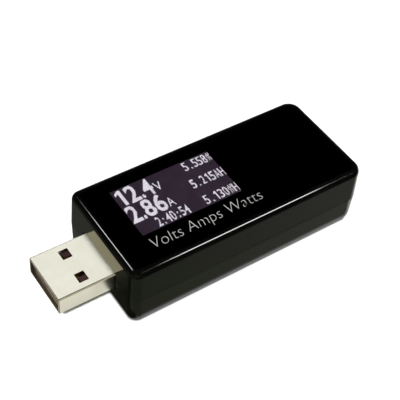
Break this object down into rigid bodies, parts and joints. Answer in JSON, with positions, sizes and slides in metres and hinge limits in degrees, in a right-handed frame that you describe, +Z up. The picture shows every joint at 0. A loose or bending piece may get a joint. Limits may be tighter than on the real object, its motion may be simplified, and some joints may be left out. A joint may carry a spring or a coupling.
{
  "type": "usb power meter",
  "caption": "Stick-shaped USB pass-through power meter: plug at one end, socket at the other, lit display under a glossy panel, push button on one side.",
  "frame": {"origin": "middle of the case's flat underside", "axes": "+X from the plug to the socket, +Z up out of the display, +Y towards the side with the button"},
  "size_m": [0.0684, 0.0262, 0.0142],
  "materials": {
    "case_plastic": "moulded black, satin gloss",
    "panel_acrylic": "clear polished sheet",
    "black_adhesive": "black film",
    "polariser_film": "smoky film",
    "display_glass": "polished",
    "silicon": "polished grey die",
    "flex_film": "amber film",
    "foam": "matt foam tape",
    "board_laminate": "green solder mask",
    "nickel_plate": "bright warm nickel plate",
    "insulator_plastic": "moulded black",
    "gold_plate": "gold-plated",
    "chip_epoxy": "matt moulded epoxy",
    "resistor_body": "glazed black with tinned ends",
    "capacitor_body": "fired tan with tinned ends",
    "switch_plastic": "moulded black",
    "plunger_plastic": "moulded cream",
    "tinned_steel": "tin-plated",
    "button_plastic": "moulded black, fine matt"
  },
  "bodies": {
    "case": {"upper_shell": "case_plastic", "lower_shell": "case_plastic", "front_panel": "panel_acrylic", "panel_adhesive": "black_adhesive", "display_polariser": "polariser_film", "display_glass": "display_glass", "display_back_glass": "display_glass", "display_driver_chip": "silicon", "display_ribbon": "flex_film", "display_pad": "foam", "main_board": "board_laminate", "plug_shell": "nickel_plate", "socket_shell": "nickel_plate", "plug_insulator": "insulator_plastic", "socket_insulator": "insulator_plastic", "plug_contacts": "gold_plate", "socket_contacts": "gold_plate", "controller_chip": "chip_epoxy", "amplifier_chip": "chip_epoxy", "voltage_regulator": "chip_epoxy", "protection_diode": "chip_epoxy", "shunt_resistor": "resistor_body", "resistors": "resistor_body", "capacitors": "capacitor_body", "switch_housing": "switch_plastic", "switch_frame": "tinned_steel", "switch_terminals": "tinned_steel", "switch_dome": "tinned_steel"},
    "button": {"button_cap": "button_plastic"},
    "plunger": {"switch_plunger": "plunger_plastic"}
  },
  "joints": [
    {"name": "button_press", "type": "slide", "parent": "case", "child": "button", "axis": [0, -1, 0], "range_m": [0, 0.00025]},
    {"name": "plunger_press", "type": "slide", "parent": "case", "child": "plunger", "axis": [0, -1, 0], "range_m": [0, 0.00025]}
  ],
  "couplings": [
    {"joint": "plunger_press", "follows": "button_press", "ratio": 1}
  ]
}
